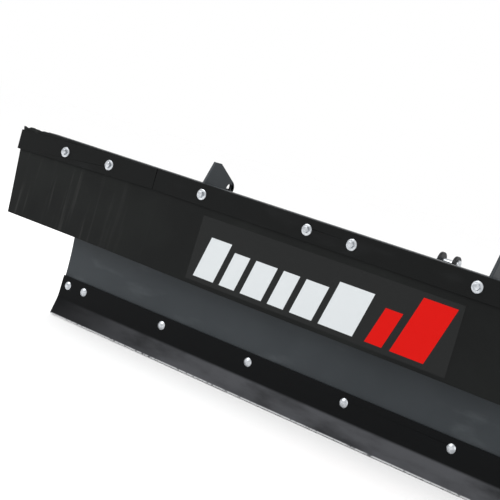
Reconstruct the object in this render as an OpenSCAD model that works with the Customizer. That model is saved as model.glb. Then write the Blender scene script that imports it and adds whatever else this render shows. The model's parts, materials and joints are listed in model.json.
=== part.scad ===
// Straight snow plow blade for an all-terrain vehicle, with its swivel, trip hinge and push frame.
// The blade faces -Y, the vehicle is towards +Y, and Z = 0 is the ground under the wear edge.

/* [Blade] */
// Width of the curved moldboard
blade_w = 1524; // [1200:4:1900]
// Height of the top lip above the ground
blade_h = 450; // [400:5:560]
// Thickness of the moldboard sheet
mold_t = 3; // [2.5:0.5:5]
// Radius of the rolled lower part of the moldboard
mold_r = 700; // [500:10:1000]
// Forward lean of the moldboard above its rolled part, in degrees
mold_lean = 8.75; // [4:0.25:10]
// Distance from the wear edge up to where the rolled part begins
roll_rise = 0; // [0:1:20]
// Height of the moldboard's lower edge above the ground
mold_bottom = 30; // [20:1:45]
// Height of the upright flange along the lip
flange_h = 50; // [46:1:60]
// Width of the lip, flared beyond the curved part at both ends
lip_w = 1900; // [1700:4:2100]
// Height at which the ends begin to flare out
flare_z = 300; // [220:5:330]
// Chamfer of the lip's two corners
lip_corner = 24; // [10:1:40]

/* [Wear edge] */
// Height of the wear edge
edge_h = 106.5; // [96:0.5:115]
// Thickness of the wear edge
edge_t = 6.3; // [5:0.1:9]
// Forward kick of the wear edge's lower part, in degrees
edge_lean = 15; // [8:0.5:18]
// Length of the straight kicked part
edge_kick = 36; // [24:1:44]
// Bend radius of the wear edge
edge_r = 100; // [70:1:110]
// Height of the row of carriage bolts
edge_bolt_z = 84; // [80:1:88]
// Distance from the blade's end to the corner bolt
corner_bolt = 24.6; // [18:0.2:30]
// Distance from the blade's end to the first bolt of the even row
edge_margin = 82; // [70:1:100]
// Number of even bays between the bolts of the row
edge_bays = 5; // [4:1:6]

/* [Snow deflector] */
// Width of the rubber deflector and of the clamp strips
deflector_w = 2026; // [1800:4:2200]
// How much further out each end of the deflector reaches at its top than at its bottom
deflector_lean = 28; // [0:1:40]
// Thickness of the rubber
rubber_t = 6; // [4:0.5:8]
// Height of the deflector's lower edge above the ground
deflector_z = 212; // [190:1:240]
// Distance from the lip down to the deflector's upper edge
deflector_drop = 1; // [0:0.5:4]
// Thickness of the clamp strips
strip_t = 4.5; // [3:0.5:6]
// Height of the clamp strips
strip_h = 52; // [44:1:56]
// Distance from the lip down to the clamp bolts on the middle strip
strip_drop = 27; // [24:0.5:30]
// Half length of the middle strip, to its seam with the side strip
seam_x = 525; // [480:1:560]
// Gap at each seam
seam_gap = 1.2; // [0.6:0.1:3]
// Droop of the side strips towards their outer ends, in degrees
strip_tilt = 1.5; // [0:0.1:2]
// Places of the clamp bolts on the middle strip, either side of the centre
inner_bolts = [61, 373];
// Places of the clamp bolts along a side strip, from its seam
outer_bolts = [156, 313];

/* [Blade stiffening] */
// Thickness of the ribs and fins
rib_t = 8; // [5:0.5:10]
// Depth of the ribs behind the sheet
rib_depth = 50; // [40:1:60]
// Distance from the lip's bend down to the ribs' upper end
rib_drop = 1; // [0:1:60]
// Distance from the centre to the inner ribs
rib_inner_x = 230; // [228:1:260]
// Distance from the centre to the outer ribs
rib_outer_x = 552; // [500:1:560]
// Distance from the blade's end to the end ribs
rib_end_inset = 6; // [5:0.5:7]
// Thickness of the top rail's angle section
rail_angle_t = 4; // [3:0.5:6]
// Depth of the top rail's angle section
rail_angle_d = 32; // [24:1:40]
// Height of the crossbar's section
bar_h = 50; // [40:1:56]
// Depth of the crossbar's section
bar_d = 25; // [20:1:30]
// Height of the crossbar's underside
bar_z = 60; // [56:1:66]
// Length of the crossbar
bar_w = 1130; // [1125:1:1140]

/* [Swivel and trip hinge] */
// Height of the trip hinge's axis
hinge_z = 62; // [60:0.5:66]
// Distance of the trip hinge's axis behind the crossbar
hinge_gap = 27.6; // [26:0.1:32]
// Distance from the centre to each hinge
hinge_x = 200; // [150:1:202]
// Radius of the hinge pins
hinge_pin_r = 8; // [6:0.5:9]
// Width of the swivel beam's hinge boss
boss_w = 31.2; // [24:0.1:36]
// Size of the square swivel beam
beam_s = 50; // [45:1:55]
// Length of the swivel beam
beam_w = 836; // [824:2:860]
// Distance from the trip hinge's axis to the beam
beam_gap = 25; // [24:0.5:28]
// Distance from the beam's rear face to the king pin's axis
king_gap = 62; // [60:1:70]
// Radius of the king pin
king_r = 12.7; // [10:0.1:14]
// Radius of the row of angle holes
sector_r = 130; // [120:1:132]
// Step between the angle holes, in degrees
angle_step = 15; // [10:1:15]
// Thickness of the sector plate
sector_t = 10; // [8:0.5:12]
// Radius of the angle lock pin
lock_r = 8; // [6:0.5:9]
// Travel of the angle lock pin
lock_travel = 34; // [32:0.5:36]

/* [Trip springs] */
// Distance from the centre to each fin and spring
fin_x = 388; // [387:0.5:396]
// Height of the fins above the lip
fin_rise = 56; // [40:1:60]
// Distance of the spring eye behind the lip
fin_eye_back = 102; // [95:1:110]
// Height of the spring eye above the lip
fin_eye_rise = 2; // [0:1:10]
// Outside radius of the spring's coil
coil_r = 18; // [14:0.5:20]
// Radius of the spring's wire
wire_r = 3; // [2:0.5:3.5]
// Mean radius of the spring's end loops
loop_r = 14; // [13.5:0.5:15]

/* [Skid shoes] */
// Distance from the centre to each shoe
shoe_x = 618; // [612:1:622]
// Distance of the shoe's leg behind the moldboard
shoe_back = 86; // [80:1:95]
// Width of the runner
shoe_w = 60; // [50:1:62]
// Length of the runner's flat part
shoe_flat = 80; // [60:1:90]
// Upward travel of the shoe
shoe_travel = 40; // [30:1:42]
// Thickness of the shoe's steel
shoe_t = 8; // [6:0.5:9]

/* [Push frame] */
// Clear height between the two pivot plates
plate_gap = 46; // [44:0.5:47]
// Thickness of the pivot plates
plate_t = 8; // [6:0.5:10]
// Length of the pivot plates behind the king pin
plate_back = 220; // [215:1:228]
// Size of the square side rails
rail_s = 38; // [32:1:40]
// Half distance between the side rails at the front
rail_front_x = 52; // [50:1:56]
// Half distance between the side rails at the rear
rail_rear_x = 190; // [160:1:200]
// Distance from the king pin to the rear cross tube
frame_len = 827; // [650:1:1000]
// Wall of the frame's tubes
tube_wall = 3; // [2:0.5:4]
// Distance from the king pin to the lift mast
mast_back = 338; // [320:1:400]
// Height of the lift pin above the ground
lift_z = 425; // [360:5:460]
// Clear width between the mast's two bars
mast_gap = 36; // [28:1:40]
// Radius of the lift pin
lift_pin_r = 8; // [6:0.5:9]
// Radius of the rear mount bores
mount_r = 8.25; // [6.25:0.25:10.25]
// Clear width of each rear clevis
clevis_gap = 30; // [24:1:32]
// Half distance between the two rear clevises
clevis_x = 200; // [150:1:205]

/* [Hidden] */
$fn = 64;
steel_blue = [0.24, 0.27, 0.30];
black_steel = [0.07, 0.07, 0.08];
rubber_black = [0.10, 0.10, 0.10];
zinc = [0.80, 0.81, 0.83];
arc_steps = 24;
// Clearances: fit between a pin and its bore, drilled hole over a bolt, and gap between moving faces
run_fit = 0.05;
drill_fit = 0.35;
air = 0.4;
// How far an outline's corner sinks into the round that it runs into
bite = 0.1;

// A profile path in the Y-Z plane is a list of [point, heading]. Heading 0 climbs straight up and a positive
// one leans forward. A run is [length, 0] for a straight, or [radius, turn] for an arc.
function climb(h) = [-sin(h), cos(h)];
function arc_at(p, h, r, turn, t) = p + r * sign(turn) * [cos(h + t) - cos(h), sin(h + t) - sin(h)];
function run_end(p, h, run) = run[1] == 0 ? p + run[0] * climb(h) : arc_at(p, h, run[0], run[1], run[1]);
function run_points(p, h, run) = run[1] == 0 ? [[p, h]]
    : [for (k = [0 : arc_steps - 1]) let (t = run[1] * k / arc_steps) [arc_at(p, h, run[0], run[1], t), h + t]];
function walk(p, h, runs, i = 0) = i == len(runs) ? [[p, h]]
    : concat(run_points(p, h, runs[i]), walk(run_end(p, h, runs[i]), h + runs[i][1], runs, i + 1));
function beside(q, t) = q[0] + t * [cos(q[1]), sin(q[1])];
function band(path, t0, t1) = concat([for (q = path) beside(q, t0)],
                                     [for (i = [len(path) - 1 : -1 : 0]) beside(path[i], t1)]);
function end_of(path) = path[len(path) - 1][0];
// Where a line from point p runs into a circle round c, on the side chosen by s = 1 or -1
function touch(p, c, r, s) = let (d = p - c, a = atan2(d[1], d[0]) + s * acos(r / norm(d)))
    c + (r - bite) * [cos(a), sin(a)];

// Wear edge: its lower tip is at Y = 0, and its upper part stands flat against the moldboard
edge_start = [0, edge_t * sin(edge_lean)];
edge_bend_top = run_end(run_end(edge_start, -edge_lean, [edge_kick, 0]), -edge_lean, [edge_r, edge_lean]);
edge_path = walk(edge_start, -edge_lean, [[edge_kick, 0], [edge_r, edge_lean], [edge_h - edge_bend_top[1], 0]]);
edge_y = end_of(edge_path)[0];
edge_bolt_r = 4.75;
edge_head_r = 10.75;
edge_bolt_x = concat([-1, 1] * (blade_w / 2 - corner_bolt),
    [for (k = [0 : edge_bays]) (k / edge_bays - 0.5) * (blade_w - 2 * edge_margin)]);

// Moldboard
mold_y = edge_y + edge_t;
mold_back = mold_y + mold_t;
lip_bend_r = 60;
roll_z = edge_h + roll_rise;
lean_top = roll_z + mold_r * sin(mold_lean);
bend_z = blade_h - flange_h - lip_bend_r * sin(mold_lean);
lean_run = (bend_z - lean_top) / cos(mold_lean);
rib_top = bend_z - rib_drop;
mold_path = walk([mold_y, mold_bottom], 0,
    [[roll_z - mold_bottom, 0], [mold_r, mold_lean], [lean_run, 0], [lip_bend_r, -mold_lean], [flange_h, 0]]);
rib_path = walk([mold_y, mold_bottom + 4], 0,
    [[roll_z - mold_bottom - 4, 0], [mold_r, mold_lean], [(rib_top - lean_top) / cos(mold_lean), 0]]);
lip_y = end_of(mold_path)[0];
lip_back = lip_y + mold_t;

// Deflector and its clamp strips
strip_z = blade_h - strip_drop;
strip_front = lip_y - rubber_t - strip_t;
side_strip_l = deflector_w / 2 - seam_x;
clamp_r = 4.75;
clamp_flange_r = 13.5;
clamp_flange_t = 2.5;
clamp_head_h = 6.5;
nut_flange_r = 10.3;
clamp_spots = [for (side = [-1, 1]) each concat([for (x = inner_bolts) [side * x, strip_z]],
    [for (s = outer_bolts) [side * (seam_x + s * cos(strip_tilt)), strip_z - s * sin(strip_tilt)]])];

// Hinge, beam and king pin
bar_y = mold_back + rib_depth;
hinge_y = bar_y + bar_d + hinge_gap;
beam_y = hinge_y + beam_gap;
king_y = beam_y + beam_s + king_gap;
beam_top = bar_z + beam_s;
ear_t = 8;
ear_r = 22;
ear_x = boss_w / 2 + air + ear_t / 2;
boss_r = 20;
hinge_hex_r = 13.8;
hinge_hex_h = 10;
bumper_r = 14;
bumper_x = 110;
bumper_z = 96;

// Pivot plates round the sector plate
mid_z = beam_top + sector_t / 2;
plate_w = 150;
plate_nose_r = 50;
hub_r = 30;
sector_rim = sector_r + 25;
sector_half = 2 * angle_step + 12;
guide_r = 15;
guide_h = 44;
handle_r = 6;
lock_hole_r = lock_r + 0.3;
plate_top_z = mid_z + plate_gap / 2;
plate_bottom_z = mid_z - plate_gap / 2 - plate_t;
lock_tip_z = beam_top + sector_t + 2.6;
lock_y = king_y + sector_r;
handle_z = plate_top_z + plate_t + guide_h + lock_travel + handle_r + 2;

// Springs
fin_eye = [lip_back + fin_eye_back, blade_h + fin_eye_rise];
fin_eye_r = 20;
fin_hole_r = 11;
anchor = [beam_y + beam_s - 12, beam_top + 30];
anchor_r = 18;
anchor_hole_r = 7;
hook_set = 4;
spring_len = norm(fin_eye - anchor);
spring_tilt = atan2(anchor[0] - fin_eye[0], fin_eye[1] - anchor[1]);
loop_reach = 2 * loop_r + wire_r;
shank_r = coil_r / 2 - 2;
shank_l = 200;

// Skid shoes
shoe_leg_y = mold_back + shoe_back;
shoe_leg_w = 50;
bracket_w = 70;
bracket_z = [66, 166];
shoe_bolt_z = [104, 144];
shoe_bolt_r = 5;
slot_r = shoe_bolt_r + 0.5;
runner_turn = 40;
runner_r = 40;
gusset_t = 6;

// Push frame
rail_y = king_y + sector_rim + 10;
plates_end = king_y + plate_back;
rear_y = king_y + frame_len;
rear_z = 24;
tube_drop = (mid_z - rear_z) / (rear_y - (rail_y + plates_end) / 2);
rail_start_z = mid_z + tube_drop * (plates_end - rail_y) / 2;
rail_yaw = atan2(rail_rear_x - rail_front_x, rear_y - rail_y);
rail_pitch = atan(tube_drop);
clevis_r = 24;
clevis_t = 10;
clevis_y = rear_y + rail_s + rail_s;
rear_w = 2 * (clevis_x + clevis_gap / 2 + clevis_t) + 10;
mast_y = king_y + mast_back;
mast_t = 8;
mast_half = 22;
mast_tube_h = 30;
mast_tube_z = mid_z - tube_drop * (mast_y - (rail_y + plates_end) / 2);

// The origin lies under the middle of the whole part's box
front_y = strip_front - clamp_flange_t - clamp_head_h;
origin_y = -(front_y + clevis_y + clevis_r) / 2;
module place() translate([0, origin_y, 0]) children();
module sides(side) if (side < 0) mirror([1, 0, 0]) children(); else children();

// Solids made from a profile in the Y-Z plane, centred on x and w wide
module slab(x, w) translate([x - w / 2, 0, 0]) rotate([90, 0, 90]) linear_extrude(w) children();
// A rod along Y, from y0 to y1
module rod_y(x, z, r, y0, y1, fn = 64) translate([x, y0, z]) rotate([-90, 0, 0]) cylinder(r = r, h = y1 - y0, $fn = fn);
// A rod along X, from x0 to x1, at a point of the Y-Z plane
module rod_x(p, r, x0, x1, fn = 64) translate([x0, p[0], p[1]]) rotate([0, 90, 0]) cylinder(r = r, h = x1 - x0, $fn = fn);
module box(lo, hi) translate(lo) cube(hi - lo);
// What lies behind the moldboard's back face, from z0 to z1 and forward of y1
module behind_mold(z0, z1, y1) difference() {
    translate([lip_y, z0]) square([y1 - lip_y, z1 - z0]);
    polygon(band(mold_path, -120, mold_t));
}
module clamp_holes(y0, y1) for (s = clamp_spots) rod_y(s[0], s[1], clamp_r + drill_fit, y0, y1);
module edge_holes() for (x = edge_bolt_x) rod_y(x, edge_bolt_z, edge_bolt_r + drill_fit, edge_y - 5, mold_back + 5);

// Blade
module moldboard() color(steel_blue) place() difference() {
    intersection() {
        slab(0, lip_w) polygon(band(mold_path, 0, mold_t));
        translate([0, bar_y, 0]) rotate([90, 0, 0]) linear_extrude(4 * rib_depth)
            polygon([for (side = [-1, 1]) each let (half = [[blade_w / 2, 0], [blade_w / 2, flare_z],
                [lip_w / 2, blade_h - flange_h], [lip_w / 2, blade_h - lip_corner], [lip_w / 2 - lip_corner, blade_h]])
                [for (i = [0 : 4]) let (q = half[side < 0 ? i : 4 - i]) [side * q[0], q[1]]]]);
    }
    edge_holes();
    clamp_holes(lip_y - 1, lip_back + 1);
}
module top_rail() color(steel_blue) place() difference() {
    slab(0, lip_w - 2 * lip_corner) polygon([[lip_back, blade_h - flange_h + 2],
        [lip_back + rail_angle_t, blade_h - flange_h + 2], [lip_back + rail_angle_t, blade_h - rail_angle_t],
        [lip_back + rail_angle_d, blade_h - rail_angle_t], [lip_back + rail_angle_d, blade_h], [lip_back, blade_h]]);
    clamp_holes(lip_back - 1, lip_back + rail_angle_t + 1);
    for (side = [-1, 1]) slab(side * fin_x, rib_t) translate([lip_y, 0]) square([rail_angle_d * 2, blade_h + 1]);
}
module rib(x) color(steel_blue) place() slab(x, rib_t) polygon(band(rib_path, mold_t, mold_t + rib_depth));
module rib_inner_left() rib(-rib_inner_x);
module rib_inner_right() rib(rib_inner_x);
module rib_outer_left() rib(-rib_outer_x);
module rib_outer_right() rib(rib_outer_x);
module rib_end_left() rib(-blade_w / 2 + rib_end_inset);
module rib_end_right() rib(blade_w / 2 - rib_end_inset);
module spring_fin(side) color(steel_blue) place() difference() {
    peak = [lip_back + 46, blade_h + fin_rise];
    foot = beside(rib_path[len(rib_path) - 1], mold_t + rib_depth) - [2, 12];
    slab(side * fin_x, rib_t) {
        polygon(band(rib_path, mold_t, mold_t + rib_depth));
        polygon([[lip_back + 6, rib_top - 8], [lip_back, blade_h - flange_h + 4], [lip_back, blade_h],
            [lip_back + 22, blade_h + fin_rise], peak, touch(peak, fin_eye, fin_eye_r, -1),
            fin_eye + [fin_eye_r - bite, 0], touch(foot, fin_eye, fin_eye_r, 1), foot]);
        translate(fin_eye) circle(fin_eye_r);
    }
    rod_x(fin_eye, fin_hole_r, side * fin_x - rib_t, side * fin_x + rib_t);
}
module spring_fin_left() spring_fin(-1);
module spring_fin_right() spring_fin(1);
module crossbar() color(steel_blue) place() difference() {
    box([-bar_w / 2, bar_y, bar_z], [bar_w / 2, bar_y + bar_d, bar_z + bar_h]);
    box([-bar_w, bar_y + tube_wall, bar_z + tube_wall], [bar_w, bar_y + bar_d - tube_wall, bar_z + bar_h - tube_wall]);
}
module hinge_ears(side) color(steel_blue) place() for (k = [-1, 1]) difference() {
    x = side * hinge_x + k * ear_x;
    slab(x, ear_t) {
        translate([hinge_y, hinge_z]) circle(ear_r);
        translate([bar_y + bar_d, hinge_z - 2]) square([hinge_gap, ear_r + 2]);
    }
    rod_x([hinge_y, hinge_z], hinge_pin_r + run_fit, x - ear_t, x + ear_t);
}
module hinge_ears_left() hinge_ears(-1);
module hinge_ears_right() hinge_ears(1);
module wear_edge() color(black_steel) place() difference() {
    slab(0, blade_w) polygon(band(edge_path, 0, edge_t));
    edge_holes();
}
// Carriage bolts: a low dome over the wear edge, and a shank through the sheet
module edge_bolts() color(zinc) place() for (x = edge_bolt_x) {
    dome_h = 5;
    ball_r = (edge_head_r * edge_head_r + dome_h * dome_h) / (2 * dome_h);
    intersection() {
        translate([x, edge_y - dome_h + ball_r, edge_bolt_z]) sphere(ball_r);
        rod_y(x, edge_bolt_z, edge_head_r, edge_y - 2 * dome_h, edge_y);
    }
    rod_y(x, edge_bolt_z, edge_bolt_r, edge_y - 1, mold_back + 14);
}
module edge_nuts() color(zinc) place() for (x = edge_bolt_x) difference() {
    union() {
        rod_y(x, edge_bolt_z, nut_flange_r, mold_back, mold_back + 2);
        rod_y(x, edge_bolt_z, 8.2, mold_back, mold_back + 10, 6);
    }
    rod_y(x, edge_bolt_z, edge_bolt_r, mold_back - 1, mold_back + 11);
}
module deflector() color(rubber_black) place() difference() {
    translate([0, lip_y, 0]) rotate([90, 0, 0]) linear_extrude(rubber_t) polygon([
        [deflector_lean - deflector_w / 2, deflector_z], [deflector_w / 2 - deflector_lean, deflector_z],
        [deflector_w / 2, blade_h - deflector_drop], [-deflector_w / 2, blade_h - deflector_drop]]);
    clamp_holes(lip_y - rubber_t - 1, lip_y + 1);
}
module strip_middle() color(black_steel) place() difference() {
    box([-seam_x + seam_gap / 2, strip_front, strip_z - strip_h / 2],
        [seam_x - seam_gap / 2, strip_front + strip_t, strip_z + strip_h / 2]);
    clamp_holes(strip_front - 1, strip_front + strip_t + 1);
}
module side_strip(side) color(black_steel) place() difference() {
    sides(side) translate([seam_x, strip_front, strip_z]) rotate([0, strip_tilt, 0])
        box([seam_gap / 2, 0, -strip_h / 2], [side_strip_l, strip_t, strip_h / 2]);
    clamp_holes(strip_front - 1, strip_front + strip_t + 1);
}
module strip_left() side_strip(-1);
module strip_right() side_strip(1);
module clamp_bolts() color(zinc) place() for (s = clamp_spots) {
    rod_y(s[0], s[1], clamp_flange_r, strip_front - clamp_flange_t, strip_front);
    rod_y(s[0], s[1], 8.4, front_y, strip_front - 1, 6);
    rod_y(s[0], s[1], clamp_r, strip_front - 1, lip_back + rail_angle_t + 14);
}
module clamp_nuts() color(zinc) place() for (s = clamp_spots) difference() {
    seat = lip_back + rail_angle_t;
    union() {
        rod_y(s[0], s[1], nut_flange_r, seat, seat + 2);
        rod_y(s[0], s[1], 8.2, seat, seat + 10, 6);
    }
    rod_y(s[0], s[1], clamp_r, seat - 1, seat + 11);
}

// Skid shoes, bolted through a slot to a bracket behind the moldboard
module shoe_bracket(side) color(steel_blue) place() difference() {
    union() {
        box([side * shoe_x - bracket_w / 2, shoe_leg_y - shoe_t, bracket_z[0]],
            [side * shoe_x + bracket_w / 2, shoe_leg_y, bracket_z[1]]);
        for (k = [-1, 1]) slab(side * shoe_x + k * (bracket_w - gusset_t) / 2, gusset_t)
            behind_mold(bracket_z[0], bracket_z[1], shoe_leg_y - 1);
    }
    for (z = shoe_bolt_z) rod_y(side * shoe_x, z, shoe_bolt_r + drill_fit, shoe_leg_y - 2 * shoe_t, shoe_leg_y + 1);
}
module shoe_bracket_left() shoe_bracket(-1);
module shoe_bracket_right() shoe_bracket(1);
module shoe_bolts() color(zinc) place() for (side = [-1, 1], z = shoe_bolt_z) {
    rod_y(side * shoe_x, z, 9, shoe_leg_y - shoe_t - 7, shoe_leg_y - shoe_t, 6);
    rod_y(side * shoe_x, z, shoe_bolt_r, shoe_leg_y - shoe_t - 1, shoe_leg_y + shoe_t + 16);
}
module shoe_nuts() color(zinc) place() for (side = [-1, 1], z = shoe_bolt_z) difference() {
    seat = shoe_leg_y + air / 2 + shoe_t + air;
    union() {
        rod_y(side * shoe_x, z, 13, seat, seat + 2);
        rod_y(side * shoe_x, z, 9, seat, seat + 10, 6);
    }
    rod_y(side * shoe_x, z, shoe_bolt_r, seat - 1, seat + 11);
}
module skid_shoe(side) color(black_steel) place() {
    leg_y = shoe_leg_y + air;
    x = side * shoe_x;
    slab(x, shoe_w) polygon(band(walk(
        [leg_y + shoe_t / 2 - shoe_flat / 2 - runner_r * sin(runner_turn), shoe_t + runner_r * (1 - cos(runner_turn))],
        -90 - runner_turn, [[runner_r, runner_turn], [shoe_flat, 0], [runner_r, runner_turn]]), 0, shoe_t));
    difference() {
        box([x - shoe_leg_w / 2, leg_y, shoe_t - 1], [x + shoe_leg_w / 2, leg_y + shoe_t, shoe_bolt_z[1] + 24]);
        box([x - slot_r, leg_y - 1, shoe_bolt_z[0] - shoe_travel], [x + slot_r, leg_y + shoe_t + 1, shoe_bolt_z[1]]);
        for (z = [shoe_bolt_z[0] - shoe_travel, shoe_bolt_z[1]]) rod_y(x, z, slot_r, leg_y - 1, leg_y + shoe_t + 1);
    }
}
module skid_shoe_left() skid_shoe(-1);
module skid_shoe_right() skid_shoe(1);

// Swivel
module swivel_beam() color(black_steel) place() difference() {
    box([-beam_w / 2, beam_y, bar_z], [beam_w / 2, beam_y + beam_s, beam_top]);
    box([-beam_w, beam_y + tube_wall, bar_z + tube_wall], [beam_w, beam_y + beam_s - tube_wall, beam_top - tube_wall]);
}
module beam_cap(side) color(rubber_black) place() sides(side) {
    box([beam_w / 2, beam_y, bar_z], [beam_w / 2 + 3, beam_y + beam_s, beam_top]);
    box([beam_w / 2 - 14, beam_y + tube_wall, bar_z + tube_wall],
        [beam_w / 2 + 1, beam_y + beam_s - tube_wall, beam_top - tube_wall]);
}
module beam_cap_left() beam_cap(-1);
module beam_cap_right() beam_cap(1);
module sector_plate() color(black_steel) place() translate([0, 0, beam_top]) linear_extrude(sector_t) difference() {
    union() {
        polygon([[-90, beam_y], [90, beam_y], [66, king_y], [-66, king_y]]);
        translate([0, king_y]) circle(66);
        translate([0, king_y]) intersection() {
            circle(sector_rim);
            polygon([[0, -20], for (k = [-1, 1]) 2 * sector_rim * [k * sin(sector_half), cos(sector_half)]]);
        }
    }
    translate([0, king_y]) circle(hub_r);
    for (k = [-2 : 2]) translate([-sector_r * sin(k * angle_step), king_y + sector_r * cos(k * angle_step)])
        circle(lock_r + 0.5);
}
module king_hub() color(black_steel) place() translate([0, king_y, mid_z - plate_gap / 2 + air]) difference() {
    cylinder(r = hub_r, h = plate_gap - 2 * air);
    translate([0, 0, -1]) cylinder(r = king_r + run_fit, h = plate_gap + 2);
}
module hinge_boss(side) color(black_steel) place() difference() {
    slab(side * hinge_x, boss_w) {
        translate([hinge_y, hinge_z]) circle(boss_r);
        translate([hinge_y, hinge_z - 10]) square([beam_gap, boss_r + 10]);
    }
    rod_x([hinge_y, hinge_z], hinge_pin_r + run_fit, side * hinge_x - boss_w, side * hinge_x + boss_w);
}
module hinge_boss_left() hinge_boss(-1);
module hinge_boss_right() hinge_boss(1);
module hinge_pins() color(zinc) place() for (side = [-1, 1]) sides(side) {
    reach = ear_x + ear_t / 2 + air;
    rod_x([hinge_y, hinge_z], hinge_hex_r, hinge_x + reach, hinge_x + reach + hinge_hex_h, 6);
    rod_x([hinge_y, hinge_z], hinge_pin_r, hinge_x - reach - 14, hinge_x + reach + 1);
}
module hinge_nuts() color(zinc) place() for (side = [-1, 1]) sides(side) difference() {
    reach = ear_x + ear_t / 2 + air;
    rod_x([hinge_y, hinge_z], hinge_hex_r, hinge_x - reach - hinge_hex_h, hinge_x - reach, 6);
    rod_x([hinge_y, hinge_z], hinge_pin_r, hinge_x - reach - 2 * hinge_hex_h, hinge_x);
}
module stop_bumpers() color(rubber_black) place() for (side = [-1, 1])
    rod_y(side * bumper_x, bumper_z, bumper_r, bar_y + bar_d + air, beam_y);
module spring_anchor(side) color(black_steel) place() difference() {
    slab(side * fin_x, rib_t) {
        translate(anchor) circle(anchor_r);
        polygon([[beam_y + 6, beam_top], touch([beam_y + 6, beam_top], anchor, anchor_r, -1),
            anchor + [0, anchor_r - bite], anchor + [11, anchor_r / 2], [anchor[0] + 11, beam_top]]);
    }
    rod_x(anchor, anchor_hole_r, side * fin_x - rib_t, side * fin_x + rib_t);
}
module spring_anchor_left() spring_anchor(-1);
module spring_anchor_right() spring_anchor(1);

// Trip springs, in a frame whose Z axis runs from the anchor's eye to the fin's eye
module along_spring(side) place() translate([side * fin_x, anchor[0], anchor[1]]) rotate([spring_tilt, 0, 0]) children();
module spring_loop(z) translate([0, 0, z]) rotate([90, 0, 0]) rotate_extrude() translate([loop_r, 0]) circle(wire_r);
module spring(side) color(black_steel) along_spring(side) {
    spring_loop(loop_r);
    difference() {
        translate([0, 0, loop_reach - 1]) cylinder(r = coil_r, h = spring_len - 2 * loop_reach - hook_set - 3);
        translate([0, 0, loop_reach + 5]) cylinder(r = coil_r - 2 * wire_r, h = spring_len);
    }
}
module spring_left() spring(-1);
module spring_right() spring(1);
module spring_hook(side) color(black_steel) along_spring(side) {
    spring_loop(spring_len - hook_set - loop_r);
    translate([0, 0, spring_len - hook_set - loop_reach - shank_l]) cylinder(r = shank_r, h = shank_l + 1);
}
module spring_hook_left() spring_hook(-1);
module spring_hook_right() spring_hook(1);

// Push frame
module pivot_plate(z) color(black_steel) place() translate([0, 0, z]) linear_extrude(plate_t) difference() {
    union() {
        translate([0, king_y]) circle(plate_nose_r);
        polygon([for (side = [-1, 1]) each let (half = [[0, king_y - plate_nose_r + bite],
            [plate_nose_r - bite, king_y], [plate_w / 2, king_y + 60], [plate_w / 2, plates_end]])
            [for (i = [0 : 3]) let (q = half[side < 0 ? i : 3 - i]) [side * q[0], q[1]]]]);
    }
    translate([0, king_y]) circle(king_r + run_fit);
    translate([0, lock_y]) circle(lock_hole_r);
}
module plate_top() pivot_plate(plate_top_z);
module plate_bottom() pivot_plate(plate_bottom_z);
// A side rail along its own line, notched for the pivot plates, and solid with wall = 0
module rail_tube(side, wall) difference() {
    sides(side) translate([rail_front_x, rail_y, rail_start_z]) rotate([0, 0, -rail_yaw]) rotate([-rail_pitch, 0, 0])
        rotate([-90, 0, 0]) translate([0, 0, -rail_s]) linear_extrude(frame_len + rail_s) difference() {
            square(rail_s, center = true);
            if (wall > 0) square(rail_s - 2 * wall, center = true);
        }
    box([-blade_w, rail_y - 2 * rail_s, -blade_h], [blade_w, rail_y, blade_h]);
    box([-blade_w, rear_y, -blade_h], [blade_w, rear_y + frame_len, blade_h]);
    for (z = [plate_bottom_z, plate_top_z]) box([-blade_w, king_y, z], [blade_w, plates_end, z + plate_t]);
}
module side_rail_left() color(black_steel) place() rail_tube(-1, tube_wall);
module side_rail_right() color(black_steel) place() rail_tube(1, tube_wall);
module cross_tube_mast() color(black_steel) place() difference() {
    box([-rail_rear_x, mast_y - mast_half, mast_tube_z - mast_tube_h / 2],
        [rail_rear_x, mast_y + mast_half, mast_tube_z + mast_tube_h / 2]);
    box([-blade_w, mast_y - mast_half + tube_wall, mast_tube_z - mast_tube_h / 2 + tube_wall],
        [blade_w, mast_y + mast_half - tube_wall, mast_tube_z + mast_tube_h / 2 - tube_wall]);
    for (side = [-1, 1]) {
        rail_tube(side, 0);
        sides(side) translate([rail_front_x, rail_y, rail_start_z]) rotate([0, 0, -rail_yaw])
            box([rail_s / 4, 0, -blade_h], [blade_w, frame_len, blade_h]);
    }
}
module cross_tube_rear() color(black_steel) place() difference() {
    box([-rear_w / 2, rear_y, rear_z - rail_s / 2], [rear_w / 2, rear_y + rail_s, rear_z + rail_s / 2]);
    box([-rear_w, rear_y + tube_wall, rear_z - rail_s / 2 + tube_wall],
        [rear_w, rear_y + rail_s - tube_wall, rear_z + rail_s / 2 - tube_wall]);
}
module clevis(side) color(black_steel) place() for (k = [-1, 1]) difference() {
    x = side * clevis_x + k * (clevis_gap + clevis_t) / 2;
    slab(x, clevis_t) {
        translate([clevis_y, rear_z]) circle(clevis_r);
        translate([rear_y + rail_s, rear_z - clevis_r]) square([clevis_y - rear_y - rail_s, 2 * clevis_r]);
    }
    rod_x([clevis_y, rear_z], mount_r, x - clevis_t, x + clevis_t);
}
module clevis_left() clevis(-1);
module clevis_right() clevis(1);
module mast(side) color(black_steel) place() difference() {
    x = side * (mast_gap + mast_t) / 2;
    base = mast_tube_z + mast_tube_h / 2;
    slab(x, mast_t) {
        translate([mast_y - mast_half, base]) square([2 * mast_half, lift_z - base]);
        translate([mast_y, lift_z]) circle(mast_half);
    }
    rod_x([mast_y, lift_z], lift_pin_r + run_fit, x - mast_t, x + mast_t);
}
module mast_left() mast(-1);
module mast_right() mast(1);
module lift_pin() color(zinc) place() {
    half = mast_gap / 2 + mast_t;
    rod_x([mast_y, lift_z], lift_pin_r, -half - 6, half + 6);
    for (side = [-1, 1]) sides(side) rod_x([mast_y, lift_z], lift_pin_r + 5, half, half + 5);
}
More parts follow.
